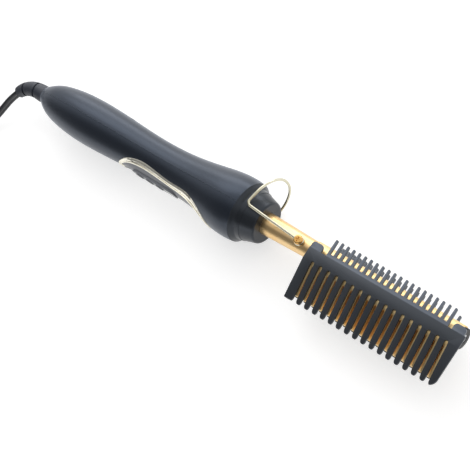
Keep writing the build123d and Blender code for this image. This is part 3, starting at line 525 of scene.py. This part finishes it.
# The other parts stay as the model has them, and get their finish here
nodeFinish = {
    "nose_collar": "noseAbs",
    "nose_cone": "noseAbs",
    "neck_bush": "ceramic",
    "control_panel": "paintedPanel",
    "display_window": "smokedWindow",
    "display_block": "innerPlastic",
    "indicator_light": "smokedWindow",
    "power_button": "satinButton",
    "minus_button": "satinButton",
    "plus_button": "satinButton",
    "circuit_board": "solderMask",
    "board_screws": "zincSteel",
    "board_parts": "innerPlastic",
    "push_switches": "innerPlastic",
    "shell_screws": "zincSteel",
    "cord_clamp": "innerPlastic",
    "clamp_screws": "zincSteel",
    "inner_cord": "cordPvc",
    "supply_leads": "leadSleeve",
    "heater_leads": "leadSleeve",
    "neck_tube": "neckBrass",
    "guard_screws": "zincSteel",
    "end_cap": "innerPlastic",
    "end_screw": "zincSteel",
    "heater_rod": "zincSteel",
    "heater_sleeve": "ceramic",
    "thermal_fuse": "ceramic",
    "wire_stand": "platedWire",
    "hinge_washers": "champagneTrim",
    "hinge_screws": "screwBrass",
    "strain_relief": "bootPvc",
    "plug_body": "cordPvc",
    "plug_pins": "nickelPin",
}
for nodeName, finishName in nodeFinish.items():
    mesh = nodes[nodeName].data
    mesh.materials.clear()
    mesh.materials.append(finishes[finishName])
print("finishes given to", len(nodeFinish), "parts")

# Floor, sky and lamps: bright beyond the object, dark before it, and white near the floor. The
# turn from dark to bright and the horizon's height are heights in the sky's unit direction.
studio = {
    "floorSize": 8.0,
    "floorTone": 0.6,
    "floorLift": 0.62,  # white that the floor adds where it is seen
    "darkSide": 0.2,
    "turnFrom": -0.42,
    "turnTo": 0.12,
    "brightSide": 1.0,
    "horizonHeight": 0.16,
}


def paleFloor():
    # a pale matt floor that keeps its shadow, lifted to white where it is seen or mirrored
    material = bpy.data.materials.new("pale_floor")
    material.use_nodes = True
    tree = material.node_tree
    tree.nodes.clear()
    tone = studio["floorTone"]
    diffuse = addNode(tree, "ShaderNodeBsdfDiffuse", {"Color": (tone, tone, tone, 1)})
    rays = addNode(tree, "ShaderNodeLightPath")
    seen = addNode(
        tree, "ShaderNodeMath", {"operation": "MAXIMUM"},
        {0: rays.outputs["Is Camera Ray"], 1: rays.outputs["Is Glossy Ray"]},
    )
    seenAll = addNode(
        tree, "ShaderNodeMath", {"operation": "MAXIMUM"},
        {0: seen.outputs[0], 1: rays.outputs["Is Transmission Ray"]},
    )
    lift = addNode(
        tree, "ShaderNodeMath", {"operation": "MULTIPLY", 1: studio["floorLift"]},
        {0: seenAll.outputs[0]},
    )
    glow = addNode(
        tree, "ShaderNodeEmission", {"Color": (1, 1, 1, 1)}, {"Strength": lift.outputs[0]}
    )
    both = addNode(tree, "ShaderNodeAddShader", {}, {0: diffuse.outputs[0], 1: glow.outputs[0]})
    addNode(tree, "ShaderNodeOutputMaterial", {}, {"Surface": both.outputs[0]})
    return material


floorMesh = bpy.data.meshes.new("floor")
work = bmesh.new()
bmesh.ops.create_grid(work, x_segments=1, y_segments=1, size=studio["floorSize"] / 2)
work.to_mesh(floorMesh)
work.free()
floor = bpy.data.objects.new("floor", floorMesh)
scene.collection.objects.link(floor)
floorMesh.materials.append(paleFloor())

world = bpy.data.worlds.new("studio_sky")
scene.world = world
world.use_nodes = True
skyTree = world.node_tree
background = skyTree.nodes["Background"]
skyPlace = addNode(skyTree, "ShaderNodeTexCoord")
skySplit = addNode(
    skyTree, "ShaderNodeSeparateXYZ", {}, {"Vector": skyPlace.outputs["Generated"]}
)
sideways = addNode(
    skyTree, "ShaderNodeMapRange",
    {
        "interpolation_type": "SMOOTHSTEP", "From Min": studio["turnFrom"],
        "From Max": studio["turnTo"], "To Min": studio["darkSide"], "To Max": studio["brightSide"],
    },
    {"Value": skySplit.outputs["Y"]},
)
lowDown = addNode(
    skyTree, "ShaderNodeMapRange",
    {
        "interpolation_type": "SMOOTHSTEP", "From Min": 0.0, "From Max": studio["horizonHeight"],
        "To Min": 1.0, "To Max": 0.0,
    },
    {"Value": skySplit.outputs["Z"]},
)
skyLevel = addNode(
    skyTree, "ShaderNodeMath", {"operation": "MAXIMUM"},
    {0: sideways.outputs["Result"], 1: lowDown.outputs["Result"]},
)
skyTree.links.new(skyLevel.outputs[0], background.inputs["Color"])
background.inputs["Strength"].default_value = 1.0

lamps = {
    "key_softbox": {"place": (-0.65, 0.72, 0.88), "size": (0.9, 0.6), "power": 3.2},
    "far_softbox": {"place": (-0.4, 1.3, 0.34), "size": (1.8, 0.5), "power": 6.5},
    "lower_card": {"place": (0.1, -1.1, 0.25), "size": (1.0, 0.3), "power": 1.4},
}
aim = Vector((0, 0, 0.015))  # the lamps point at the handle's middle
for name, facts in lamps.items():
    data = bpy.data.lights.new(name, "AREA")
    data.shape = "RECTANGLE"
    data.size, data.size_y = facts["size"]
    data.energy = facts["power"]
    lamp = bpy.data.objects.new(name, data)
    scene.collection.objects.link(lamp)
    lamp.location = facts["place"]
    lamp.rotation_euler = (aim - Vector(facts["place"])).to_track_quat("-Z", "Y").to_euler()
scene.view_settings.view_transform = "Standard"
print("studio lit")
